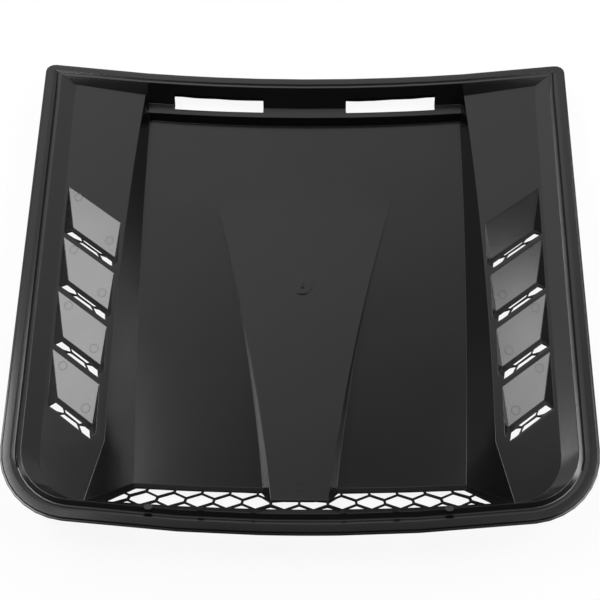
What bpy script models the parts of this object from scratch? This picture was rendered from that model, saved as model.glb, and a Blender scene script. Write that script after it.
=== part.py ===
"""Car bonnet vent panel, moulded as one piece in black plastic.

The panel is a thin wall that covers an opening in a bonnet. It lies here as it rests on a bench,
with the side that faces the bonnet up: X runs across the car, Y along it with the mouth at -Y.
A flange with a groove and a ridge runs round it. Inside lies a deep well with a raised spine, whose
mouth is closed by a honeycomb, and beside the well are two panels with four hooded louvres each.

Sizes are in metres and angles in radians. The moulding is drawn level, with its flange along XY and
Z as the direction in which the mould opens, and is then turned to rest on the floor of the well.
"""

import itertools
import math

import bmesh
import bpy
import numpy as np

# Wall and outline
WALL = 0.003
HALF_WIDTH = 0.3349
SIDE_TAPER = math.radians(3.3)
TOP_Y = 0.3566
TOP_RADIUS = 3.9
BOTTOM_Y = -0.2848
BOTTOM_RADIUS = 2.53
TOP_CORNER = 0.012
BOTTOM_CORNER = 0.085
CROWN = 0.012

# Flange: distances in from the outline
RIM_STEP = 0.0012
RIM_WIDTH = 0.0022
STEP_RUN = 0.0005
BAND_WIDTH = 0.0115
GROOVE_DEPTH = 0.003
GROOVE_FLANK = 0.0042
GROOVE_FLOOR = 0.0013
RIDGE_WIDTH = 0.0225
TOP_GROOVE_DEPTH = 0.0013
TOP_GROOVE_FLANK = 0.0008
TOP_LIP_WIDTH = 0.018

# Side panels: distances in from the outline
SIDE_WIDTH = 0.1117
SIDE_MARGIN = 0.040
BOTTOM_MARGIN = 0.0275
TOP_WALL_RUN = 0.0092
PANEL_CORNER = 0.052
OUTER_DROP = 0.008
WELL_DROP = 0.012

# Well: its upper edge, which flares from a kink to a pointed tip
WELL_HALF = HALF_WIDTH - SIDE_WIDTH
WELL_BOW = 0.092
WIDEST_FROM_TOP = 0.2466
WELL_WIDEST_Y = TOP_Y - WIDEST_FROM_TOP
KINK_FROM_BOTTOM = 0.1078
KINK_Y = BOTTOM_Y + KINK_FROM_BOTTOM
FLARE_LEAD = 0.075
FLARE_START_Y = KINK_Y + FLARE_LEAD
TIP_FLARE = 0.0065
TIP_X = WELL_HALF + TIP_FLARE
TIP_FROM_BOTTOM = 0.0373
TIP_Y = BOTTOM_Y + TIP_FROM_BOTTOM
CORNER_FROM_TOP = 0.0246
CORNER_Y = TOP_Y - CORNER_FROM_TOP

# Well: ledge and floor
LEDGE_DEPTH = 0.022
LEDGE_FROM_TOP = 0.0358
LEDGE_BACK_Y = TOP_Y - LEDGE_FROM_TOP
LEDGE_WIDTH = 0.0164
LEDGE_INSET = 0.0077
LEDGE_HALF = WELL_HALF - LEDGE_INSET
STEP_WALL_RUN = 0.0047
WELL_RADIUS = 2.4
FLOOR_DEPTH = 0.034
FLOOR_FALL = math.radians(2.69)
FLOOR_INSET = 0.0087
FLOOR_HALF_TOP = WELL_HALF - FLOOR_INSET
FLOOR_NARROWING = 0.0265
FLOOR_HALF_MOUTH = FLOOR_HALF_TOP - FLOOR_NARROWING
FLOOR_BOW = 0.56

# Spine between the two lobes of the floor
SPINE_FROM_TOP = 0.1626
SPINE_START_Y = TOP_Y - SPINE_FROM_TOP
SPINE_FROM_BOTTOM = 0.0485
SPINE_MOUTH_Y = BOTTOM_Y + SPINE_FROM_BOTTOM
LOBE_WIDTH = 0.0935
SPINE_HALF_TOP = FLOOR_HALF_TOP - LOBE_WIDTH
SPINE_HALF_MOUTH = 0.0315
SPINE_BOW = 0.364
SPINE_RISE = 0.0282
SPINE_EASE = 1.25
SPINE_WALL = 0.35

# Mouth and its honeycomb
MOUTH_FROM_BOTTOM = 0.0715
MOUTH_Y = BOTTOM_Y + MOUTH_FROM_BOTTOM
MOUTH_RADIUS = 3.5
MOUTH_TOP_DEPTH = 0.0045
CELL_PITCH = 0.03095
CELL_EDGE = 0.0082
CELL_RISE = 0.010
CELLS_FROM_BOTTOM = 0.0433
CELL_ROW_Y = BOTTOM_Y + CELLS_FROM_BOTTOM
CELL_RADIUS = 3.8
WEB = 0.0026
FRAME_LOBE = 0.0085
FRAME_SPINE = 0.0015
FRAME_BOTTOM = 0.0022
FRAME_END = 0.004
END_SPLAY = 0.60

# Air slots behind the ledge
SLOT_INNER_X = 0.057
SLOT_INSET = 0.036
SLOT_OUTER_X = LEDGE_HALF - SLOT_INSET
SLOT_WIDTH = 0.0155
SLOT_REACH = 0.0073

# Louvres
LOUVRES = 4
FIRST_FROM_TOP = 0.1886
LAST_FROM_BOTTOM = 0.2167
LOUVRE_FIRST_Y = TOP_Y - FIRST_FROM_TOP
LOUVRE_PITCH = (LOUVRE_FIRST_Y - BOTTOM_Y - LAST_FROM_BOTTOM) / (LOUVRES - 1)
LOUVRE_RIB = 0.0062
LOUVRE_HEIGHT = LOUVRE_PITCH - LOUVRE_RIB
LOUVRE_STEP = 0.0037
LOUVRE_OUTER = SIDE_MARGIN + LOUVRE_STEP
LOUVRE_INNER = 0.0063
LOUVRE_LEAN = math.radians(3)
LOUVRE_SKEW = math.radians(36)
LOUVRE_CORNER = 0.007
BLADE_SLOPE = math.radians(13.8)
GRILLE_SLOPE = math.radians(37.4)
LOUVRE_DRAFT = math.radians(30)
LIP = 0.0045
GRILLE_FRAME = 0.0016

# Openings of one louvre's grille: along it from the outer end, and from the blade to the panel
GRILLE_CELLS = (
    ((0.05, 0.14), (0.24, 0.14), (0.30, 0.42), (0.30, 0.58), (0.17, 0.87), (0.0, 0.96)),
    ((0.30, 0.12), (0.80, 0.12), (0.69, 0.43), (0.35, 0.40)),
    ((0.225, 1.0), (0.30, 0.62), (0.60, 0.57), (0.645, 1.0)),
    ((0.67, 0.56), (0.82, 0.27), (0.955, 0.27), (0.88, 1.0), (0.705, 1.0)),
)

# Columns of the strip below the honeycomb, as shares of the tip and of the mouth's corners
STRIP_MIDDLE = 0.55
STRIP_SPREAD = 1.05

# How finely the curves are divided
CORNER_STEPS = 5
BEND_STEPS = 9
FLOOR_ROWS = 11
ARC_STEPS = 6
ROUND_STEPS = 3
SMOOTH_BELOW = math.radians(25)

# How far the cutters stand clear of the wall, and the least radius of a corner
CUT_REACH = 0.010
CUT_CLEAR = 0.002
LEAST_RADIUS = 0.001

# Points and faces closer than these count as one, and planes this near to parallel never meet
SAME_POINT = 1e-6
SAME_CORNER = 1e-5
ON_PLANE = 1e-7
PARALLEL = 1e-4
FLAT_WITHIN = math.radians(0.5)

# Finish of the moulding
PLASTIC_COLOUR = (0.012, 0.012, 0.013, 1.0)
PLASTIC_ROUGHNESS = 0.38


def clear_scene():
    """Remove every object, so that the script can run in any file."""
    for item in list(bpy.data.objects):
        bpy.data.objects.remove(item)


def collection(name):
    """Add a collection to the scene."""
    group = bpy.data.collections.new(name)
    bpy.context.scene.collection.children.link(group)
    return group


def add_object(name, mesh, group, parent=None):
    """Link a mesh as a named object."""
    item = bpy.data.objects.new(name, mesh)
    group.objects.link(item)
    item.parent = parent
    return item


def sag(radius, x):
    """Depth of an arc of this radius at x from its middle."""
    return radius - math.sqrt(radius ** 2 - x ** 2)


def side_x(y, offset=0.0):
    """X of the straight side, or of a line that lies this far inside it."""
    return HALF_WIDTH + math.tan(SIDE_TAPER) * y - offset / math.cos(SIDE_TAPER)


def top_y(x, offset=0.0):
    """Y of the hollow top edge, or of an arc this far inside it."""
    return TOP_Y - offset + sag(TOP_RADIUS + offset, x)


def bottom_y(x, offset=0.0):
    """Y of the bulging bottom edge, or of an arc this far inside it."""
    return BOTTOM_Y + offset + sag(BOTTOM_RADIUS - offset, x)


def crown(x, y):
    """Height of the bonnet's skin, which rises evenly towards both sides of the flange."""
    return CROWN * (x / side_x(y)) ** 2


def side_meets_circle(offset, centre, radius):
    """Lower point where the line inside the right side meets a circle about a centre on the Y axis."""
    slope = math.tan(SIDE_TAPER)
    start = side_x(0.0, offset)
    a = 1 + slope ** 2
    b = start * slope - centre
    c = start ** 2 + centre ** 2 - radius ** 2
    root = math.sqrt(b ** 2 - a * c)
    y = (-b - root) / a
    return start + slope * y, y


def arc_points(centre, radius, first, last, steps):
    """Points on an arc, both ends included."""
    angles = np.linspace(first, last, steps)
    return [(centre[0] + radius * math.cos(a), centre[1] + radius * math.sin(a)) for a in angles]


def top_corner(offset_top, offset_side, radius):
    """Arc that joins the hollow top edge to the right side."""
    middle = TOP_Y + TOP_RADIUS
    cx, cy = side_meets_circle(offset_side + radius, middle, TOP_RADIUS + offset_top + radius)
    start = math.atan2(middle - cy, -cx)
    return arc_points((cx, cy), radius, start, -SIDE_TAPER, CORNER_STEPS)


def bottom_corner(offset_bottom, offset_side, radius):
    """Arc that joins the right side to the bulging bottom edge."""
    middle = BOTTOM_Y + BOTTOM_RADIUS
    reach = BOTTOM_RADIUS - offset_bottom - radius
    cx, cy = side_meets_circle(offset_side + radius, middle, reach)
    end = math.atan2(cy - middle, cx)
    return arc_points((cx, cy), radius, -SIDE_TAPER, end, BEND_STEPS)


def well_edge(y):
    """X of the well's upper edge, which bows in towards both ends and flares below the kink."""
    if y >= KINK_Y:
        return WELL_HALF - WELL_BOW * (y - WELL_WIDEST_Y) ** 2
    start = WELL_HALF - WELL_BOW * (KINK_Y - WELL_WIDEST_Y) ** 2
    share = (KINK_Y - y) / (KINK_Y - TIP_Y)
    return start + share * (TIP_X - start)


def panel_z(x, y):
    """Height of the side panel, straight from the well's edge to the outer margin."""
    outer = side_x(y, SIDE_MARGIN)
    inner = well_edge(max(y, TIP_Y))
    share = (x - inner) / (outer - inner)
    low = crown(inner, y) - WELL_DROP
    high = crown(outer, y) - OUTER_DROP
    return low + share * (high - low)


def floor_half(y):
    """X of the foot of the well's side wall."""
    top = LEDGE_BACK_Y - LEDGE_WIDTH
    share = (y - MOUTH_Y) / (top - MOUTH_Y)
    share = max(0.0, min(1.0, share))
    curve = share + FLOOR_BOW * share * (1 - share)
    return FLOOR_HALF_MOUTH + (FLOOR_HALF_TOP - FLOOR_HALF_MOUTH) * curve


def floor_z(y):
    """Height of the floor, one plane that falls towards the mouth."""
    top = LEDGE_BACK_Y - LEDGE_WIDTH - STEP_WALL_RUN
    return -FLOOR_DEPTH - (top - y) * math.tan(FLOOR_FALL)


def spine_share(y):
    """How far down the spine y lies, from 0 at its start to 1 at the mouth."""
    share = (SPINE_START_Y - y) / (SPINE_START_Y - SPINE_MOUTH_Y)
    return max(0.0, min(1.0, share))


def spine_rise(y):
    """Height of the spine above the floor."""
    return SPINE_RISE * spine_share(y) ** SPINE_EASE


def spine_half(y):
    """Half width of the spine."""
    share = 1 - spine_share(y)
    curve = share - SPINE_BOW * share * (1 - share)
    return SPINE_HALF_MOUTH + (SPINE_HALF_TOP - SPINE_HALF_MOUTH) * curve


def mouth_strip_z(x):
    """Height of the edge where the honeycomb meets the margin."""
    end = panel_z(TIP_X, TIP_Y)
    return -MOUTH_TOP_DEPTH + (end + MOUTH_TOP_DEPTH) * (x / TIP_X) ** 2


def floor_row(share):
    """One row across the floor, from the middle to the foot of the side wall.

    The share runs from 0 at the head of the floor to 1 at the mouth. The head and the mouth are
    arcs, and the mouth of the spine lies further out than that of the lobes.
    """
    head = LEDGE_BACK_Y - LEDGE_WIDTH - STEP_WALL_RUN

    def along(x, mouth):
        return (1 - share) * (head + sag(WELL_RADIUS, x)) + share * mouth

    edge = spine_half(along(SPINE_HALF_TOP, SPINE_MOUTH_Y))
    y_spine = along(edge, SPINE_MOUTH_Y)
    edge = spine_half(y_spine)
    rise = spine_rise(y_spine)
    foot = edge + SPINE_WALL * rise
    y_foot = along(foot, MOUTH_Y + sag(MOUTH_RADIUS, foot))
    if share < 1:
        y_foot = y_foot if rise > 0 else y_spine
    outer = floor_half(along(FLOOR_HALF_TOP, MOUTH_Y))
    y_outer = along(outer, MOUTH_Y + sag(MOUTH_RADIUS, outer))
    middle = (foot + outer) / 2
    y_middle = along(middle, MOUTH_Y + sag(MOUTH_RADIUS, middle))
    y_mid_spine = along(edge / 2, SPINE_MOUTH_Y)
    y_axis = along(0.0, SPINE_MOUTH_Y)
    return [
        (0.0, y_axis, floor_z(y_axis) + spine_rise(y_axis)),
        (edge / 2, y_mid_spine, floor_z(y_mid_spine) + spine_rise(y_mid_spine)),
        (edge, y_spine, floor_z(y_spine) + rise),
        (foot, y_foot, floor_z(y_foot)),
        (middle, y_middle, floor_z(y_middle)),
        (outer, y_outer, floor_z(y_outer)),
    ]


def ledge_row(offset, depth, half):
    """One row across the ledge."""
    edge = SPINE_HALF_TOP
    columns = (0.0, edge / 2, edge, edge, (edge + half) / 2, half)
    return [(x, LEDGE_BACK_Y - offset + sag(WELL_RADIUS, x), -depth) for x in columns]


def well_rows():
    """Rows of the well from the ledge's back edge to the mouth."""
    floor_head = LEDGE_BACK_Y - LEDGE_WIDTH - STEP_WALL_RUN + sag(WELL_RADIUS, SPINE_HALF_TOP)
    head = (floor_head - SPINE_START_Y) / (floor_head - SPINE_MOUTH_Y)
    shares = [0.0, head / 2] + list(head + (1 - head) * np.linspace(0, 1, FLOOR_ROWS))
    rows = [
        ledge_row(0.0, LEDGE_DEPTH, LEDGE_HALF),
        ledge_row(LEDGE_WIDTH, LEDGE_DEPTH, LEDGE_HALF),
    ]
    return rows + [floor_row(share) for share in shares]


def wall_tops(rows):
    """Points of the well's upper edge, one for each row; the last ones draw ahead to reach the tip."""
    ys = [CORNER_Y]
    mouth = rows[-1][-1][1]
    for row in rows[1:]:
        y = row[-1][1]
        share = max(0.0, (FLARE_START_Y - y) / (FLARE_START_Y - mouth))
        ys.append(y + (TIP_Y - mouth) * share ** 2)
    nearest = min(range(len(ys)), key=lambda i: abs(ys[i] - KINK_Y))
    ys[nearest] = KINK_Y
    ys += [TIP_Y] * (BEND_STEPS - 1)
    return [(well_edge(y), y, panel_z(well_edge(y), y)) for y in ys]


def flange_loops(columns, side_ys, tip_columns):
    """Loops of the flange, from the rim in to the ridge, over the right half.

    Every loop has the same stations: columns of the top edge, the top corner, rows of the side,
    the bottom corner and columns of the bottom edge.
    """
    rim_end = RIM_WIDTH + STEP_RUN
    groove_start = BAND_WIDTH + GROOVE_FLANK
    groove_end = groove_start + GROOVE_FLOOR
    top_start = BAND_WIDTH + TOP_GROOVE_FLANK
    top_end = top_start + TOP_GROOVE_FLANK
    plan = (
        (0.0, 0.0, -RIM_STEP, -RIM_STEP),
        (RIM_WIDTH, RIM_WIDTH, -RIM_STEP, -RIM_STEP),
        (rim_end, rim_end, 0.0, 0.0),
        (BAND_WIDTH, BAND_WIDTH, 0.0, 0.0),
        (top_start, groove_start, -TOP_GROOVE_DEPTH, -GROOVE_DEPTH),
        (top_end, groove_end, -TOP_GROOVE_DEPTH, -GROOVE_DEPTH),
        (TOP_LIP_WIDTH, RIDGE_WIDTH, 0.0, 0.0),
    )
    loops = []
    for top, side, top_drop, side_drop in plan:
        radius = max(TOP_CORNER - top, LEAST_RADIUS)
        bend = BOTTOM_CORNER - side
        points = [(x, top_y(x, top), top_drop) for x in columns]
        points += [(x, y, top_drop) for x, y in top_corner(top, side, radius)]
        points += [(side_x(y, side), y, side_drop) for y in side_ys]
        points += [(x, y, side_drop) for x, y in bottom_corner(side, side, bend)]
        points += [(x, bottom_y(x, side), side_drop) for x in tip_columns]
        loops.append([(x, y, crown(x, y) + drop) for x, y, drop in points])
    return loops


def panel_surface():
    """Right half of the moulding's inner face, as an open mesh."""
    rows = well_rows()
    tops = wall_tops(rows)
    columns = [point[0] for point in rows[0]] + [tops[0][0]]
    side_ys = [row[-1][1] for row in rows[1:-1]]
    bend = bottom_corner(BOTTOM_MARGIN, SIDE_MARGIN, PANEL_CORNER)[:-1]
    corner_y = top_y(side_x(tops[0][1], SIDE_MARGIN), TOP_LIP_WIDTH + TOP_WALL_RUN)
    mouth = rows[-1]
    strip_x = [TIP_X * STRIP_MIDDLE]
    strip_x += [mouth[3][0] * STRIP_SPREAD, mouth[2][0] * STRIP_SPREAD, mouth[1][0], 0.0]
    loops = flange_loops(columns, side_ys, strip_x)

    margin = [(side_x(y, SIDE_MARGIN), y) for y in [corner_y] * CORNER_STEPS + side_ys]
    margin = [(x, y, panel_z(x, y)) for x, y in margin]
    for share, (x, y) in zip(np.linspace(0, 1, BEND_STEPS), bend):
        drop = OUTER_DROP + share * (WELL_DROP - OUTER_DROP)
        margin.append((x, y, crown(x, y) - drop))
    strip = [(x, bottom_y(x, BOTTOM_MARGIN), mouth_strip_z(x)) for x in strip_x]

    mesh = bmesh.new()

    def add_row(points):
        return [mesh.verts.new(point) for point in points]

    def bridge(upper, lower):
        for i in range(len(upper) - 1):
            corners = []
            for vert in (upper[i], lower[i], lower[i + 1], upper[i + 1]):
                if vert not in corners:
                    corners.append(vert)
            if len(corners) > 2:
                mesh.faces.new(corners)

    rings = [add_row(loop) for loop in loops]
    well = [add_row(row) for row in rows]
    edge = add_row(tops)
    outer = add_row(margin)
    low = add_row(strip)
    inner_loop = well[0] + [edge[0]] + outer + [edge[-1]] + low
    for upper, lower in zip(rings, rings[1:] + [inner_loop]):
        bridge(upper, lower)
    for upper, lower in zip(well, well[1:]):
        bridge(upper, lower)
    feet = [row[-1] for row in well]
    feet += [feet[-1]] * (len(edge) - len(feet))
    bridge(edge, feet)
    bridge(outer[CORNER_STEPS - 1:] + [edge[-1]], edge)
    bridge(well[-1], low[::-1][:5] + [edge[-1]])
    bmesh.ops.remove_doubles(mesh, verts=mesh.verts[:], dist=SAME_POINT)
    bmesh.ops.dissolve_degenerate(mesh, edges=mesh.edges[:], dist=SAME_POINT)
    return mesh


def finish_mesh(mesh, name):
    """Turn a bmesh into mesh data and free it."""
    data = bpy.data.meshes.new(name)
    mesh.to_mesh(data)
    mesh.free()
    data.shade_smooth()
    data.set_sharp_from_angle(angle=SMOOTH_BELOW)
    return data


def closed_mesh(mesh, name):
    """Turn a bmesh of closed bodies into mesh data with its faces pointing out."""
    bmesh.ops.recalc_face_normals(mesh, faces=mesh.faces[:])
    return finish_mesh(mesh, name)


def add_prism(mesh, outline, low, high):
    """Add an upright prism over a plan outline."""
    base = [mesh.verts.new((x, y, low)) for x, y in outline]
    face = mesh.faces.new(base)
    lifted = bmesh.ops.extrude_face_region(mesh, geom=[face])
    tops = [v for v in lifted["geom"] if isinstance(v, bmesh.types.BMVert)]
    bmesh.ops.translate(mesh, verts=tops, vec=(0, 0, high - low))


def add_mirror(item):
    """Repeat an object's bodies on the left side."""
    mirror = item.modifiers.new("Mirror", "MIRROR")
    mirror.use_mirror_merge = False
    mirror.merge_threshold = 0.0001


def honeycomb_cell(x, y):
    """Plan outline of one opening of the honeycomb, smaller than its cell by half a web."""
    slope = CELL_RISE / (CELL_PITCH / 2)
    apex = CELL_EDGE / 2 + CELL_RISE - WEB / 2 * math.hypot(1, slope)
    half = (CELL_PITCH - WEB) / 2
    shoulder = apex - slope * half
    return [
        (x, y + apex), (x - half, y + shoulder), (x - half, y - shoulder),
        (x, y - apex), (x + half, y - shoulder), (x + half, y + shoulder),
    ]


def honeycomb_cells():
    """Cutters of the mouth's honeycomb, three rows that follow the bottom edge's arc."""
    mesh = bmesh.new()
    row_pitch = CELL_EDGE + CELL_RISE
    low = floor_z(MOUTH_Y) - CUT_REACH
    count = math.ceil(TIP_X / CELL_PITCH)
    for row in (-1, 0, 1):
        shift = 0.5 if row == 0 else 0.0
        for column in range(-count, count):
            x = (column + shift) * CELL_PITCH
            y = CELL_ROW_Y + row * row_pitch + sag(CELL_RADIUS, x)
            add_prism(mesh, honeycomb_cell(x, y), low, CUT_REACH)
    return closed_mesh(mesh, "honeycomb_cells")


def mouth_window():
    """Upright prism over the part of the mouth's grille that is open."""
    mesh = bmesh.new()
    spine_edge = SPINE_HALF_MOUTH + FRAME_SPINE / 2
    lobe_edge = SPINE_HALF_MOUTH + SPINE_WALL * SPINE_RISE + FRAME_SPINE
    end_high = FLOOR_HALF_MOUTH - FRAME_END
    steps = np.linspace(0, 1, ARC_STEPS)

    def lobe(x):
        return MOUTH_Y - FRAME_LOBE + sag(MOUTH_RADIUS, x)

    end_low = end_high + (TIP_X - FLOOR_HALF_MOUTH) * END_SPLAY
    right = [(0.0, SPINE_MOUTH_Y - FRAME_SPINE)]
    right += [(spine_edge, SPINE_MOUTH_Y - FRAME_SPINE)]
    right += [(x, lobe(x)) for x in lobe_edge + (end_high - lobe_edge) * steps]
    right += [(x, bottom_y(x, BOTTOM_MARGIN) + FRAME_BOTTOM) for x in end_low * (1 - steps)]
    left = [(-x, y) for x, y in right[1:-1]][::-1]
    add_prism(mesh, right + left, floor_z(MOUTH_Y) - 2 * CUT_REACH, 2 * CUT_REACH)
    return closed_mesh(mesh, "mouth_window")


def slot_cutters():
    """Upright slots that open where the top wall meets the ledge."""
    mesh = bmesh.new()
    steps = np.linspace(SLOT_INNER_X, SLOT_OUTER_X, ARC_STEPS)
    low_y = LEDGE_BACK_Y - SLOT_REACH
    outline = [(x, low_y + sag(WELL_RADIUS, x)) for x in steps]
    outline += [(x, low_y + SLOT_WIDTH + sag(WELL_RADIUS, x)) for x in steps[::-1]]
    add_prism(mesh, outline, -LEDGE_DEPTH - CUT_REACH, CUT_REACH)
    return closed_mesh(mesh, "slot_cutters")


def plane(a, b, c, inside):
    """Plane through three points as a unit normal and its distance, pointing away from inside."""
    normal = np.cross(b - a, c - a)
    normal /= np.linalg.norm(normal)
    if normal @ (inside - a) > 0:
        normal = -normal
    return normal, normal @ a


def meet(*planes):
    """Point that three planes share."""
    return np.linalg.solve(np.array([p[0] for p in planes]), np.array([p[1] for p in planes]))


def louvre(index):
    """Corners in plan and the four planes of one louvre's air space, on the right side."""
    y = LOUVRE_FIRST_Y - index * LOUVRE_PITCH
    lean = math.tan(LOUVRE_LEAN) * LOUVRE_HEIGHT
    inner_x = WELL_HALF + LOUVRE_INNER
    corners = []
    for start, inner in ((y, inner_x), (y - LOUVRE_HEIGHT, inner_x - lean)):
        x = side_x(start, LOUVRE_OUTER)
        end = start - (x - inner) * math.tan(LOUVRE_SKEW)
        corners.append(np.array((x, start, panel_z(x, start))))
        corners.append(np.array((inner, end, panel_z(inner, end))))
    top_outer, top_inner, low_outer, low_inner = corners
    down = np.array((math.sin(LOUVRE_SKEW), -math.cos(LOUVRE_SKEW), 0.0))
    centre = sum(corners) / 4 - np.array((0, 0, WALL))
    blade = top_outer + down - np.array((0, 0, math.tan(BLADE_SLOPE)))
    grille = low_outer - down - np.array((0, 0, math.tan(GRILLE_SLOPE)))
    outer = top_outer + np.array((-math.tan(LOUVRE_DRAFT), 0, -1))
    inner = top_inner + np.array((math.tan(LOUVRE_DRAFT), 0, -1))
    planes = {
        "blade": plane(top_outer, top_inner, blade, centre),
        "grille": plane(low_outer, low_inner, grille, centre),
        "outer": plane(top_outer, low_outer, outer, centre),
        "inner": plane(top_inner, low_inner, inner, centre),
        "face": plane(top_outer, top_inner, low_outer, centre),
    }
    return planes


def rounding(planes):
    """Planes that round off the rim's lower inner corner and run together at the deep corner."""
    deep = meet(planes["blade"], planes["grille"], planes["inner"])
    corner = meet(planes["face"], planes["grille"], planes["inner"])
    along = meet(planes["face"], planes["grille"], planes["outer"]) - corner
    up = meet(planes["face"], planes["blade"], planes["inner"]) - corner
    along /= np.linalg.norm(along)
    up /= np.linalg.norm(up)
    half = math.acos(along @ up) / 2
    middle = (along + up) / np.linalg.norm(along + up)
    centre = corner + middle * LOUVRE_CORNER / math.sin(half)
    first = corner + along * LOUVRE_CORNER / math.tan(half) - centre
    last = corner + up * LOUVRE_CORNER / math.tan(half) - centre
    points = []
    for share in np.linspace(0, 1, ROUND_STEPS + 1):
        spoke = first + share * (last - first)
        points.append(centre + spoke * LOUVRE_CORNER / np.linalg.norm(spoke))
    return [plane(a, b, deep, centre) for a, b in zip(points, points[1:])]


def add_wedge(mesh, planes, grow, lift):
    """Add the wedge that a louvre's planes enclose, grown by a wall and closed by its face."""
    normal, distance = planes["face"]
    sides = [planes[name] for name in ("blade", "grille", "outer", "inner")] + rounding(planes)
    sides = [(n, d + grow) for n, d in sides] + [(normal, distance + lift)]
    points = []
    for trio in itertools.combinations(sides, 3):
        if abs(np.linalg.det([n for n, _ in trio])) < PARALLEL:
            continue
        point = meet(*trio)
        inside = all(n @ point < d + ON_PLANE for n, d in sides)
        if inside and all(np.linalg.norm(point - other) > SAME_CORNER for other in points):
            points.append(point)
    corners = [mesh.verts.new(point) for point in points]
    hull = bmesh.ops.convex_hull(mesh, input=corners)
    faces = [item for item in hull["geom"] if isinstance(item, bmesh.types.BMFace)]
    edges = {edge for face in faces for edge in face.edges}
    bmesh.ops.dissolve_limit(mesh, angle_limit=FLAT_WITHIN, verts=corners, edges=list(edges))


def louvre_wedges(name, grow, lift):
    """The wedges of all right-hand louvres as one mesh."""
    mesh = bmesh.new()
    for index in range(LOUVRES):
        add_wedge(mesh, louvre(index), grow, lift)
    return closed_mesh(mesh, name)


def grille_cutters():
    """Upright cutters for the openings of the louvres' grilles."""
    mesh = bmesh.new()
    for index in range(LOUVRES):
        planes = louvre(index)
        deep = [meet(planes["blade"], planes["grille"], planes[side])[:2] for side in ("outer", "inner")]
        rim = [meet(planes["face"], planes["grille"], planes[side])[:2] for side in ("outer", "inner")]
        down = np.array((math.sin(LOUVRE_SKEW), -math.cos(LOUVRE_SKEW)))
        near = [point + down * LIP for point in deep]
        far = [point - down * GRILLE_FRAME for point in rim]
        for cell in GRILLE_CELLS:
            outline = []
            for along, across in cell:
                start = near[0] + (near[1] - near[0]) * along
                end = far[0] + (far[1] - far[0]) * along
                outline.append(tuple(start + (end - start) * across))
            add_prism(mesh, outline, floor_z(MOUTH_Y), 2 * CUT_REACH)
    return closed_mesh(mesh, "grille_cutters")


def plastic():
    """Black moulded plastic."""
    material = bpy.data.materials.new("black_plastic")
    material.use_nodes = True
    shader = material.node_tree.nodes["Principled BSDF"]
    shader.inputs["Base Color"].default_value = PLASTIC_COLOUR
    shader.inputs["Roughness"].default_value = PLASTIC_ROUGHNESS
    shader.inputs["Metallic"].default_value = 0.0
    return material


def add_cutter(mesh, group, parent, mirrored=False):
    """Link a guide object that shapes the panel and isn't part of it."""
    item = add_object(mesh.name, mesh, group, parent)
    item.hide_render = True
    item.display_type = "WIRE"
    if mirrored:
        add_mirror(item)
    return item


def add_boolean(item, operation, other):
    """Join or cut an object with another one."""
    modifier = item.modifiers.new(other.name, "BOOLEAN")
    modifier.operation = operation
    modifier.solver = "EXACT"
    modifier.object = other


def make_panel(group, cutters, parent):
    """The moulding: a thin wall with hoods joined on and its openings cut through."""
    panel = add_object("vent_panel", finish_mesh(panel_surface(), "vent_panel"), group, parent)
    mirror = panel.modifiers.new("Mirror", "MIRROR")
    mirror.use_clip = True
    mirror.merge_threshold = SAME_CORNER
    shell = panel.modifiers.new("Wall", "SOLIDIFY")
    shell.thickness = WALL
    shell.offset = -1
    shell.use_even_offset = True
    hoods = add_cutter(louvre_wedges("louvre_hoods", WALL, -WALL / 2), cutters, parent, True)
    spaces = add_cutter(louvre_wedges("louvre_spaces", 0.0, CUT_CLEAR), cutters, parent, True)
    grilles = add_cutter(grille_cutters(), cutters, parent, True)
    slots = add_cutter(slot_cutters(), cutters, parent, True)
    cells = add_cutter(honeycomb_cells(), cutters, parent)
    add_boolean(cells, "INTERSECT", add_cutter(mouth_window(), cutters, parent))
    add_boolean(panel, "UNION", hoods)
    for cutter in (spaces, grilles, slots, cells):
        add_boolean(panel, "DIFFERENCE", cutter)
    panel.data.materials.append(plastic())
    return panel


def settle(panel, parent):
    """Turn the moulding so that the well's floor lies flat, and centre it on the origin."""
    parent.rotation_euler = (-FLOOR_FALL, 0, 0)
    bpy.context.view_layer.update()
    shape = panel.evaluated_get(bpy.context.evaluated_depsgraph_get())
    corners = np.array([shape.matrix_world @ vert.co for vert in shape.data.vertices])
    low, high = corners.min(axis=0), corners.max(axis=0)
    parent.location = (0.0, -(low[1] + high[1]) / 2, -low[2])


def main():
    clear_scene()
    group = collection("bonnet_vent_panel")
    cutters = collection("cutters")
    origin = add_object("vent_origin", None, group)
    panel = make_panel(group, cutters, origin)
    settle(panel, origin)


main()
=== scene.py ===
"""Look of a car bonnet vent panel: its black moulding, the marks that its mould left, and a studio.

The panel is one moulding in satin black plastic, which lies on the outer face of its well's floor
with the side that faces the bonnet up. Sizes are in metres. The operators build the pieces in the
order in which the sidebar lists them: the moulding with its softened edges, the gate mark on the
spine, the low pads under the honeycomb, the ejector-pin marks, and the floor, lights and camera.
"""

import math

import bmesh
import bpy
import numpy as np
from bpy.props import FloatProperty, FloatVectorProperty, PointerProperty
from mathutils import Euler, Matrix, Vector
from mathutils.bvhtree import BVHTree


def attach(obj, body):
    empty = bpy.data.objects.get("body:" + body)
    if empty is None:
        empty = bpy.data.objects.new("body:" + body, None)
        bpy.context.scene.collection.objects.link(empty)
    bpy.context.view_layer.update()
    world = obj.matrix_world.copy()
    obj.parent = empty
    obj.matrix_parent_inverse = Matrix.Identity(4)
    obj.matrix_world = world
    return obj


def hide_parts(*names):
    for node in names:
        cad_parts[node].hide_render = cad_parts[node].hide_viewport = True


bl_info = {
    "name": "Bonnet vent panel",
    "version": (1, 0, 0),
    "blender": (4, 5, 0),
    "location": "View3D > Sidebar > Vent panel",
    "description": "Builds the look of a moulded bonnet vent panel around its CAD model",
    "category": "Object",
}

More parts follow.
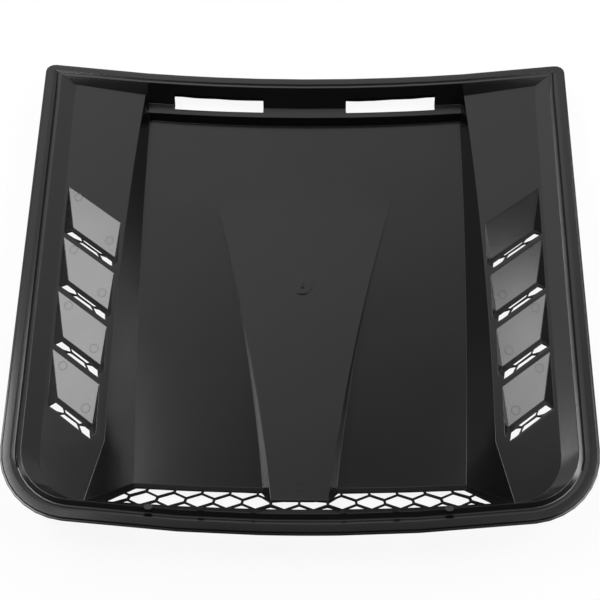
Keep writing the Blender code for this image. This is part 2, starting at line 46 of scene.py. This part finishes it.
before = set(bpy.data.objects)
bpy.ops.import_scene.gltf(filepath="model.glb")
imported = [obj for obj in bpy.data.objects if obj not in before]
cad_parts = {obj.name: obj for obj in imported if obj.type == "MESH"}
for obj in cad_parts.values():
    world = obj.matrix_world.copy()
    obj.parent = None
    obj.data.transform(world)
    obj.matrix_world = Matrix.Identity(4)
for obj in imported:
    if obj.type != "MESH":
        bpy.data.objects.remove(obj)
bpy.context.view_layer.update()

NODE = "vent_panel"
BODY = "root"
PLASTIC = "moulded_black_abs"

# Places in plan of the marks that stand alone
GATE_AT = (0.0, -0.0019)
SPINE_AT = (0.0, -0.2665)
# Rows of marks in plan on the right half, each with a twin on the left: first mark, step and count
BLADE_UPPER_ROW = ((0.2865, 0.1085), (-0.0044, -0.0799), 4)
BLADE_LOWER_ROW = ((0.2424, 0.0493), (0.0002, -0.0765), 4)
LOBE_ROW = ((0.0546, -0.2470), (0.0540, -0.0006), 3)
MOUTH_ROW = ((0.0475, -0.3022), (0.0555, 0.0012), 3)

# How far the rounding of a disc's upper edge reaches, as a share of the disc's height, and where
# the middle of that rounding lies, as a share of its reach
GATE_ROUNDING = 0.35
PAD_ROUNDING = 0.5
ARC_MIDDLE = 0.3
# Profile of the gate's stub, as shares of its radius and height: a rim round a low middle
STUB_PROFILE = ((1.1, 0.0), (1.0, 0.8), (0.88, 1.0), (0.6, 1.0), (0.45, 0.5), (0.0, 0.4))
# A pin mark's line: how high its sides stand, as a share of its height, and how far its top is
# drawn in from each side, as a share of its width
LINE_SIDE = 0.4
LINE_INSET = 0.25
# Points round a turned mark
ROUND_STEPS = 48
# Height from which a mark is dropped on the panel
DROP_FROM = 1.0

# Points closer than this are one
SAME_POINT = 1e-5
# Edges sharper than the first angle are softened, each by so many facets; faces that differ by
# less than the second are shaded as one surface
SHARP_ABOVE = math.radians(14.5)
EDGE_SEGMENTS = 2
BLEND_BELOW = math.radians(34)

# What tells the floor of the flange's groove from other faces: it is level, lies beside the side
# panels, behind the mouth and above the well, and its triangles are long and as narrow as it is
GROOVE_LEVEL = 0.9
GROOVE_OUT = 0.30
GROOVE_BEHIND = -0.27
GROOVE_ABOVE = 0.04
GROOVE_LONG = 0.004
GROOVE_NARROWEST = 0.00122
GROOVE_WIDEST = 0.00136

# Noise in the plastic's skin: width of one patch, octaves, roughness and swirl. The flow pattern is
# the melt's slow change of gloss, the specks are clusters of pigment, drawn coarser than they are
# so that they show, and the waves are where the wall shrank as it cooled.
FLOW = (0.1429, 3.0, 0.5, 0.4)
SPECKS = (0.00238, 3.0, 0.7, 0.0)
WAVES = (0.0625, 1.0, 0.4, 0.0)
# The same for the fine grain, whose width is a setting
GRAIN = (2.0, 0.6, 0.0)
# Noise stays about its middle; these are the spans that the gloss and the tone use of it
NOISE_MIDDLE = 0.5
FLOW_SPAN = 0.2
SPECK_SPAN = 0.15
GLOSS_CHANGE = 0.025
TONE_CHANGE = 0.12
WAVE_DEPTH = 0.0004
WAVE_STRENGTH = 0.5
# Index of refraction of ABS
ABS_INDEX = 1.53

# Share of the paper's white that the camera sees whatever lies on it; the rest shows the shadow
PAPER_GLOW = 0.9

# Softboxes: the setting with the power, width and length, place, and turn about Y in degrees
SOFTBOXES = {
    "left_softbox": ("left_power", (0.54, 0.96), (-0.88, 0.09, 1.40), 0.0),
    "right_softbox": ("right_power", (0.50, 0.62), (0.86, -0.10, 1.40), 0.0),
    "low_right_softbox": ("low_right_power", (0.22, 1.44), (1.30, 0.38, 0.73), 80.0),
    "front_right_softbox": ("front_right_power", (0.30, 0.55), (1.30, 0.0, 0.40), 85.0),
    "low_left_softbox": ("low_left_power", (0.22, 1.10), (-1.30, 0.22, 0.73), -80.0),
}

# Smooth steps of the room's brightness: the axis of a ray's direction, from where to where along
# it, and the values at both ends. The lift is added to a ray's height, so that the light goes on
# below the horizon at the back.
ROOM_STEPS = {
    "front": ("Y", -0.55, -0.30, 0.03, 0.25),
    "back": ("Y", 0.28, 0.62, 0.0, 0.68),
    "across": ("X", -0.35, 0.35, 1.18, 0.86),
    "lift": ("Y", 0.70, 0.95, 0.0, 0.35),
}
# Where the room's light starts and is full above the horizon
HORIZON = (0.02, 0.34)

# The camera, as the photograph was taken: place, turn in degrees, focal length and sensor in
# millimetres, and shift as a share of the picture
CAMERA_AT = (0.01837, -0.59119, 1.06835)
CAMERA_TURN = (28.309, 0.236, 0.416)
CAMERA_LENS = 58.2
CAMERA_SENSOR = 36.0
CAMERA_SHIFT = -0.017


def linear(code):
    """Linear colour from an sRGB hex value, by the standard curve of that colour space."""
    channels = [int(code[i:i + 2], 16) / 255 for i in (1, 3, 5)]
    curved = [c / 12.92 if c <= 0.04045 else ((c + 0.055) / 1.055) ** 2.4 for c in channels]
    return (*curved, 1.0)


WHITE = linear("#ffffff")


def add_node(tree, kind, settings=None, inputs=None):
    """Add a shader node: settings are its properties, inputs are values or sockets to link.

    An input is named, or numbered where the node has several of one name.
    """
    node = tree.nodes.new("ShaderNode" + kind)
    for name, value in (settings or {}).items():
        setattr(node, name, value)
    for name, value in (inputs or {}).items():
        if isinstance(value, bpy.types.NodeSocket):
            tree.links.new(value, node.inputs[name])
        else:
            node.inputs[name].default_value = value
    return node


def new_material(name):
    """An empty node material and its tree."""
    material = bpy.data.materials.new(name)
    material.use_nodes = True
    material.node_tree.nodes.clear()
    return material, material.node_tree


class VENT_PG_finish(bpy.types.PropertyGroup):
    """Finish of the moulding."""

    colour: FloatVectorProperty(
        name="Colour", description="Colour of the pigmented plastic", subtype="COLOR",
        size=4, min=0.0, max=1.0, default=linear("#080809"))
    roughness: FloatProperty(
        name="Roughness", description="Roughness of the satin surface",
        default=0.22, min=0.0, max=1.0)
    # Real grain is a few tenths of a millimetre wide, too fine to show, so it is drawn coarser
    grain_size: FloatProperty(
        name="Grain size", description="Width of one bump of the mould's fine texture",
        default=0.0009, unit="LENGTH")
    grain_depth: FloatProperty(
        name="Grain depth", description="Height of the fine texture",
        default=0.000012, unit="LENGTH")
    slot_depth: FloatProperty(
        name="Slot depth", description="Depth of the narrow slot in the flange's groove",
        default=0.0018, unit="LENGTH")
    edge_radius: FloatProperty(
        name="Edge radius", description="Radius of the moulding's softened edges",
        default=0.0006, unit="LENGTH")


class VENT_PG_marks(bpy.types.PropertyGroup):
    """Marks that the mould leaves."""

    gate_diameter: FloatProperty(
        name="Gate pad", description="Diameter of the raised pad round the gate",
        default=0.0255, unit="LENGTH")
    gate_height: FloatProperty(
        name="Gate pad height", description="Height of the pad", default=0.0012, unit="LENGTH")
    nub_diameter: FloatProperty(
        name="Gate stub", description="Diameter of the stub left by the gate",
        default=0.0076, unit="LENGTH")
    nub_height: FloatProperty(
        name="Gate stub height", description="Height of the stub above the pad",
        default=0.0012, unit="LENGTH")
    pad_diameter: FloatProperty(
        name="Mouth pad", description="Diameter of a round pad under the honeycomb",
        default=0.0095, unit="LENGTH")
    pad_height: FloatProperty(
        name="Mouth pad height", description="Height of a round pad",
        default=0.0005, unit="LENGTH")
    pin_diameter: FloatProperty(
        name="Pin mark", description="Diameter of an ejector-pin mark",
        default=0.0104, unit="LENGTH")
    pin_line: FloatProperty(
        name="Pin line", description="Width of the line round a pin mark",
        default=0.0007, unit="LENGTH")
    pin_height: FloatProperty(
        name="Pin line height", description="Height of the line round a pin mark",
        default=0.00025, unit="LENGTH")


class VENT_PG_studio(bpy.types.PropertyGroup):
    """Floor, lights and background."""

    floor_size: FloatProperty(
        name="Floor", description="Width of the floor", default=8.0, unit="LENGTH")
    floor_colour: FloatVectorProperty(
        name="Floor colour", description="Colour of the pale floor", subtype="COLOR",
        size=4, min=0.0, max=1.0, default=linear("#f2f2f2"))
    table_colour: FloatVectorProperty(
        name="Table colour", description="Colour of the dim table that the sheen picks up",
        subtype="COLOR", size=4, min=0.0, max=1.0, default=linear("#4c4c4c"))
    left_power: FloatProperty(
        name="Left softbox", description="Power of the softbox on the left",
        default=14.8, unit="POWER")
    right_power: FloatProperty(
        name="Right softbox", description="Power of the softbox on the right",
        default=7.4, unit="POWER")
    low_right_power: FloatProperty(
        name="Low right softbox", description="Power of the low softbox on the right",
        default=11.0, unit="POWER")
    low_left_power: FloatProperty(
        name="Low left softbox", description="Power of the low softbox on the left",
        default=2.2, unit="POWER")
    front_right_power: FloatProperty(
        name="Front right softbox", description="Power of the softbox low on the right, in front",
        default=1.9, unit="POWER")
    room_light: FloatProperty(
        name="Room light", description="Brightness of the white room", default=1.0)


def plastic_material(finish):
    """ABS, pigmented black right through and moulded in a lightly textured steel mould.

    That gives a satin skin: hardly any diffuse light, a soft sheen of about 4 %, a fine pebble that
    only shows close up, and slow changes of gloss where the melt flowed and cooled.
    """
    material, tree = new_material(PLASTIC)
    where = add_node(tree, "TexCoord").outputs["Object"]
    noise = []
    for width, octaves, roughness, swirl in (FLOW, SPECKS, WAVES, (finish.grain_size, *GRAIN)):
        noise.append(add_node(tree, "TexNoise", inputs={
            "Vector": where, "Scale": 1 / width, "Detail": octaves, "Roughness": roughness,
            "Distortion": swirl}).outputs["Fac"])
    flow, specks, waves, grain = noise
    gloss = add_node(tree, "MapRange", inputs={
        "Value": flow, "From Min": NOISE_MIDDLE - FLOW_SPAN, "From Max": NOISE_MIDDLE + FLOW_SPAN,
        "To Min": finish.roughness - GLOSS_CHANGE, "To Max": finish.roughness + GLOSS_CHANGE})
    tone = add_node(tree, "MapRange", inputs={
        "Value": specks,
        "From Min": NOISE_MIDDLE - SPECK_SPAN, "From Max": NOISE_MIDDLE + SPECK_SPAN,
        "To Min": 1 - TONE_CHANGE, "To Max": 1 + TONE_CHANGE})
    colour = add_node(tree, "VectorMath", {"operation": "SCALE"}, {
        0: tuple(finish.colour)[:3], "Scale": tone.outputs["Result"]})
    wave = add_node(tree, "Bump", inputs={
        "Height": waves, "Distance": WAVE_DEPTH, "Strength": WAVE_STRENGTH})
    bump = add_node(tree, "Bump", inputs={
        "Height": grain, "Distance": finish.grain_depth, "Strength": 1.0,
        "Normal": wave.outputs["Normal"]})
    shader = add_node(tree, "BsdfPrincipled", inputs={
        "Base Color": colour.outputs["Vector"], "Roughness": gloss.outputs["Result"],
        "IOR": ABS_INDEX, "Normal": bump.outputs["Normal"]})
    add_node(tree, "OutputMaterial", inputs={"Surface": shader.outputs["BSDF"]})
    return material


def piece_from(name, points, faces):
    """Put arrays of points and faces into a mesh, its faces out, and ride it on the panel."""
    mesh = bpy.data.meshes.new(name)
    mesh.from_pydata(points.tolist(), [], faces.tolist())
    work = bmesh.new()
    work.from_mesh(mesh)
    bmesh.ops.remove_doubles(work, verts=work.verts[:], dist=SAME_POINT)
    bmesh.ops.recalc_face_normals(work, faces=work.faces[:])
    work.to_mesh(mesh)
    work.free()
    even_normals(mesh)
    mesh.materials.append(bpy.data.materials[PLASTIC])
    piece = bpy.data.objects.new(name, mesh)
    bpy.context.scene.collection.objects.link(piece)
    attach(piece, BODY)
    return piece


def turned(profile, centre, normal):
    """Surface of revolution: a profile of radius and height, turned about the normal at the centre.

    A point at radius r, height h and angle a lies at centre + r(cos a U + sin a V) + h N, where U
    and V are two unit vectors square to the normal N. The profile either starts and ends on the
    axis or ends where it starts, which closes the surface.
    """
    n = normal / np.linalg.norm(normal)
    u = np.cross((0.0, 1.0, 0.0), n)
    u /= np.linalg.norm(u)
    v = np.cross(n, u)
    radius, height = np.array(profile).T
    angle = np.linspace(0, 2 * math.pi, ROUND_STEPS, endpoint=False)
    ring = np.cos(angle)[:, None] * u + np.sin(angle)[:, None] * v
    points = centre + radius[:, None, None] * ring + height[:, None, None] * n
    rows, columns = points.shape[:2]
    i, j = np.meshgrid(np.arange(rows - 1), np.arange(columns), indexing="ij")
    k = (j + 1) % columns
    low, high = i * columns, (i + 1) * columns
    faces = np.stack([low + j, low + k, high + k, high + j], -1)
    return points.reshape(-1, 3), faces.reshape(-1, 4)


def disc_profile(radius, height, rounding):
    """Profile of a low disc with a rounded upper edge, from its sunk middle to its top's edge.

    The rounding is three points on a quarter circle, whose radius is a share of the height.
    """
    reach = rounding * height
    middle = ARC_MIDDLE * reach
    return [
        (0.0, -height), (radius, -height), (radius, height - reach),
        (radius - middle, height - middle), (radius - reach, height),
    ]


def panel_surface():
    """The panel's shape, for finding what a mark sits on."""
    panel = bpy.data.objects["moulding"]
    return BVHTree.FromObject(panel, bpy.context.evaluated_depsgraph_get())


def seat(surface, x, y):
    """Point and normal of the panel's upper face straight below a place in plan."""
    point, normal, _, _ = surface.ray_cast(Vector((x, y, DROP_FROM)), Vector((0, 0, -1)))
    if point is None:
        raise RuntimeError(f"the panel has no face below x {x:.4f}, y {y:.4f}")
    return np.array(point), np.array(normal)


def both_sides(start, step, count):
    """Places along a row and their twins on the left half."""
    index = np.arange(count)
    right = np.array(start) + index[:, None] * np.array(step)
    return np.concatenate([right, right * (-1, 1)])


def marks_at(name, places, profile):
    """One piece of equal marks: the profile, turned, on the panel at each place in plan."""
    surface = panel_surface()
    points, faces = zip(*(turned(profile, *seat(surface, x, y)) for x, y in places))
    first = len(points[0]) * np.arange(len(places))
    faces = np.array(faces) + first[:, None, None]
    return piece_from(name, np.concatenate(points), faces.reshape(-1, 4))


def on_groove_floor(face):
    """Whether a triangle belongs to the narrow floor of the groove beside the side panels.

    Its length is its longest edge, and its width is twice its area over that.
    """
    length = max(edge.calc_length() for edge in face.edges)
    width = 2 * face.calc_area() / length
    x, y, z = face.calc_center_median()
    outside = abs(x) > GROOVE_OUT and y > GROOVE_BEHIND and z > GROOVE_ABOVE
    narrow = GROOVE_NARROWEST < width < GROOVE_WIDEST and length > GROOVE_LONG
    return face.normal.z > GROOVE_LEVEL and outside and narrow


def sink_groove(work, depth):
    """Sink the floor of the flange's groove into a narrow slot."""
    strip = [face for face in work.faces if on_groove_floor(face)]
    if not strip:
        raise RuntimeError("the floor of the flange's groove was not found")
    grown = bmesh.ops.extrude_face_region(work, geom=strip)
    for item in grown["geom"]:
        if isinstance(item, bmesh.types.BMVert):
            item.co.z -= depth
    bmesh.ops.delete(work, geom=strip, context="FACES_ONLY")
    work.normal_update()


def even_normals(mesh):
    """Shade the large faces flat and let the narrow ones between them turn from one to the next.

    The normal of a face's corner is the sum of the normals of all the faces at that point that lie
    within a limit angle of the face, each times its area, brought to length one.
    """
    corners = len(mesh.loops)
    vertex = np.empty(corners, np.int32)
    mesh.loops.foreach_get("vertex_index", vertex)
    sides = np.empty(len(mesh.polygons), np.int32)
    mesh.polygons.foreach_get("loop_total", sides)
    area = np.empty(len(sides))
    mesh.polygons.foreach_get("area", area)
    normal = np.empty(3 * len(sides))
    mesh.polygons.foreach_get("normal", normal)
    face = np.repeat(np.arange(len(sides)), sides)
    normal = normal.reshape(-1, 3)[face]
    weighted = normal * area[face, None]
    order = np.argsort(vertex, kind="stable")
    start = np.searchsorted(vertex[order], np.arange(len(mesh.vertices) + 1))
    result = np.zeros((corners, 3))
    valence = np.diff(start)
    for step in range(valence.max()):
        here = valence[vertex] > step
        other = order[start[vertex[here]] + step]
        near = (normal[here] * normal[other]).sum(1) > math.cos(BLEND_BELOW)
        result[here] += weighted[other] * near[:, None]
    length = np.linalg.norm(result, axis=1, keepdims=True)
    result = np.where(length > 0, result / np.maximum(length, np.finfo(float).tiny), normal)
    mesh.shade_smooth()
    mesh.normals_split_custom_set(result.tolist())


class VENT_OT_moulding(bpy.types.Operator):
    """Give the panel its softened edges and its satin black finish"""

    bl_idname = "vent.moulding"
    bl_label = "Moulding"

    def execute(self, context):
        finish = context.scene.vent_finish
        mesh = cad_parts[NODE].data.copy()
        work = bmesh.new()
        work.from_mesh(mesh)
        bmesh.ops.remove_doubles(work, verts=work.verts[:], dist=SAME_POINT)
        bmesh.ops.dissolve_degenerate(work, edges=work.edges[:], dist=SAME_POINT)
        sink_groove(work, finish.slot_depth)
        work.to_mesh(mesh)
        work.free()
        piece = bpy.data.objects.new("moulding", mesh)
        context.scene.collection.objects.link(piece)
        bevel = piece.modifiers.new("Softened edges", "BEVEL")
        bevel.width = finish.edge_radius
        bevel.segments = EDGE_SEGMENTS
        bevel.limit_method = "ANGLE"
        bevel.angle_limit = SHARP_ABOVE
        bevel.use_clamp_overlap = False
        shape = piece.evaluated_get(context.evaluated_depsgraph_get())
        mesh = bpy.data.meshes.new_from_object(shape)
        piece.modifiers.clear()
        piece.data = mesh
        even_normals(mesh)
        mesh.materials.clear()
        mesh.materials.append(plastic_material(finish))
        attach(piece, BODY)
        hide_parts(NODE)
        return {"FINISHED"}


class VENT_OT_gate_mark(bpy.types.Operator):
    """Add the pad and the stub of the gate on the spine"""

    bl_idname = "vent.gate_mark"
    bl_label = "Gate mark"

    def execute(self, context):
        marks = context.scene.vent_marks
        pad = disc_profile(marks.gate_diameter / 2, marks.gate_height, GATE_ROUNDING)
        stub = [
            (out * marks.nub_diameter / 2, marks.gate_height + up * marks.nub_height)
            for out, up in STUB_PROFILE
        ]
        marks_at("gate_mark", [GATE_AT], pad + stub)
        return {"FINISHED"}


class VENT_OT_mouth_pads(bpy.types.Operator):
    """Add the low round pads under the honeycomb"""

    bl_idname = "vent.mouth_pads"
    bl_label = "Mouth pads"

    def execute(self, context):
        marks = context.scene.vent_marks
        pad = disc_profile(marks.pad_diameter / 2, marks.pad_height, PAD_ROUNDING)
        marks_at("mouth_pads", both_sides(*MOUTH_ROW), [*pad, (0.0, marks.pad_height)])
        return {"FINISHED"}


class VENT_OT_pin_marks(bpy.types.Operator):
    """Add the thin rings that the ejector pins left on the blades, the floor and the spine"""

    bl_idname = "vent.pin_marks"
    bl_label = "Pin marks"

    def execute(self, context):
        marks = context.scene.vent_marks
        width, height = marks.pin_line, marks.pin_height
        outer = marks.pin_diameter / 2
        inner = outer - width
        side, inset = LINE_SIDE * height, LINE_INSET * width
        line = [
            (inner, -height), (outer, -height), (outer, side), (outer - inset, height),
            (inner + inset, height), (inner, side), (inner, -height),
        ]
        blades = [both_sides(*BLADE_UPPER_ROW), both_sides(*BLADE_LOWER_ROW)]
        marks_at("pin_marks_blades", np.concatenate(blades), line)
        marks_at("pin_marks_floor", np.concatenate([both_sides(*LOBE_ROW), [SPINE_AT]]), line)
        return {"FINISHED"}


def floor_material(colour, dim):
    """Matt white paper: white to the camera, with a soft shadow of what lies on it.

    To every other ray it is a dim table, so that the walls that face it stay as dark as they are in
    the photograph.
    """
    material, tree = new_material("white_paper")
    seen = add_node(tree, "LightPath").outputs["Is Camera Ray"]
    tint = add_node(tree, "Mix", {"data_type": "RGBA"}, {0: seen, 6: tuple(dim), 7: tuple(colour)})
    paper = add_node(tree, "BsdfDiffuse", inputs={"Color": tint.outputs[2]})
    glow = add_node(tree, "Emission", inputs={"Color": WHITE, "Strength": 1.0})
    share = add_node(tree, "Math", {"operation": "MULTIPLY"}, {0: seen, 1: PAPER_GLOW})
    mixed = add_node(tree, "MixShader", inputs={
        0: share.outputs["Value"], 1: paper.outputs["BSDF"], 2: glow.outputs["Emission"]})
    add_node(tree, "OutputMaterial", inputs={"Surface": mixed.outputs["Shader"]})
    return material


def softbox(name, power, size, place, tilt):
    """Rectangular softbox that shines down, turned about the Y axis by the tilt in degrees."""
    lamp = bpy.data.lights.new(name, "AREA")
    lamp.energy = power
    lamp.shape = "RECTANGLE"
    lamp.size, lamp.size_y = size
    item = bpy.data.objects.new(name, lamp)
    item.location = place
    item.rotation_euler = (0.0, math.radians(tilt), 0.0)
    bpy.context.scene.collection.objects.link(item)


def room_world(light):
    """White studio room, bright behind the panel and dim in front of it.

    The camera sees plain white. Other rays see a brightness that rises with Y in two smooth steps,
    fades a little towards the right and goes down to nothing at the horizon, except far at the
    back, where it goes on below.
    """
    world = bpy.data.worlds.new("studio_room")
    world.use_nodes = True
    tree = world.node_tree
    tree.nodes.clear()
    along = add_node(tree, "SeparateXYZ", inputs={
        "Vector": add_node(tree, "TexCoord").outputs["Generated"]}).outputs
    smooth = {"interpolation_type": "SMOOTHSTEP"}
    step = {}
    for name, (axis, low, high, start, end) in ROOM_STEPS.items():
        step[name] = add_node(tree, "MapRange", smooth, {
            "Value": along[axis], "From Min": low, "From Max": high,
            "To Min": start, "To Max": end}).outputs["Result"]
    depth, height = (
        add_node(tree, "Math", {"operation": "ADD"}, {0: first, 1: second}).outputs["Value"]
        for first, second in ((step["front"], step["back"]), (along["Z"], step["lift"])))
    above = add_node(tree, "MapRange", smooth, {
        "Value": height, "From Min": HORIZON[0], "From Max": HORIZON[1]}).outputs["Result"]
    level = light
    for factor in (depth, step["across"], above):
        product = add_node(tree, "Math", {"operation": "MULTIPLY"}, {0: level, 1: factor})
        level = product.outputs["Value"]
    seen = add_node(tree, "LightPath").outputs["Is Camera Ray"]
    strength = add_node(tree, "Mix", {"data_type": "FLOAT"}, {0: seen, 2: level, 3: 1.0})
    sky = add_node(tree, "Background", inputs={"Color": WHITE, "Strength": strength.outputs[0]})
    add_node(tree, "OutputWorld", inputs={"Surface": sky.outputs["Background"]})
    return world


def add_floor(size, material):
    """Square floor under the panel, as wide as the size."""
    half = size / 2
    mesh = bpy.data.meshes.new("floor")
    corners = [(-half, -half, 0), (half, -half, 0), (half, half, 0), (-half, half, 0)]
    mesh.from_pydata(corners, [], [(0, 1, 2, 3)])
    mesh.materials.append(material)
    floor = bpy.data.objects.new("floor", mesh)
    bpy.context.scene.collection.objects.link(floor)


def add_camera(scene):
    """The photograph's camera, which the scene then looks through."""
    lens = bpy.data.cameras.new("camera")
    lens.sensor_width = CAMERA_SENSOR
    lens.lens = CAMERA_LENS
    lens.shift_x = CAMERA_SHIFT
    camera = bpy.data.objects.new("camera", lens)
    camera.location = CAMERA_AT
    camera.rotation_euler = Euler([math.radians(angle) for angle in CAMERA_TURN])
    scene.collection.objects.link(camera)
    scene.camera = camera


class VENT_OT_studio(bpy.types.Operator):
    """Set up the pale floor, the soft lights, the background and the camera"""

    bl_idname = "vent.studio"
    bl_label = "Studio"

    def execute(self, context):
        studio = context.scene.vent_studio
        add_floor(studio.floor_size, floor_material(studio.floor_colour, studio.table_colour))
        for name, (power, size, place, tilt) in SOFTBOXES.items():
            softbox(name, getattr(studio, power), size, place, tilt)
        context.scene.world = room_world(studio.room_light)
        add_camera(context.scene)
        context.scene.view_settings.view_transform = "Standard"
        return {"FINISHED"}


class VENT_PT_sidebar(bpy.types.Panel):
    """Lists the operators and the settings of the panel"""

    bl_idname = "VENT_PT_sidebar"
    bl_label = "Bonnet vent panel"
    bl_space_type = "VIEW_3D"
    bl_region_type = "UI"
    bl_category = "Vent panel"

    def draw(self, context):
        layout = self.layout
        for operator in OPERATORS:
            layout.operator(operator.bl_idname)
        for name in SETTINGS:
            group = getattr(context.scene, name)
            box = layout.box()
            for key in group.bl_rna.properties.keys():
                if key not in ("rna_type", "name"):
                    box.prop(group, key)


OPERATORS = (
    VENT_OT_moulding, VENT_OT_gate_mark, VENT_OT_mouth_pads, VENT_OT_pin_marks, VENT_OT_studio,
)
SETTINGS = {
    "vent_finish": VENT_PG_finish,
    "vent_marks": VENT_PG_marks,
    "vent_studio": VENT_PG_studio,
}


def register():
    """Register the classes and give each scene its settings."""
    for kind in (*SETTINGS.values(), *OPERATORS, VENT_PT_sidebar):
        bpy.utils.register_class(kind)
    for name, kind in SETTINGS.items():
        setattr(bpy.types.Scene, name, PointerProperty(type=kind))


def unregister():
    """Take the settings and the classes away again."""
    for name in SETTINGS:
        delattr(bpy.types.Scene, name)
    for kind in (VENT_PT_sidebar, *OPERATORS, *SETTINGS.values()):
        bpy.utils.unregister_class(kind)


def main():
    """Register the add-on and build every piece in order."""
    register()
    bpy.ops.vent.moulding()
    bpy.ops.vent.gate_mark()
    bpy.ops.vent.mouth_pads()
    bpy.ops.vent.pin_marks()
    bpy.ops.vent.studio()


if __name__ == "__main__":
    main()
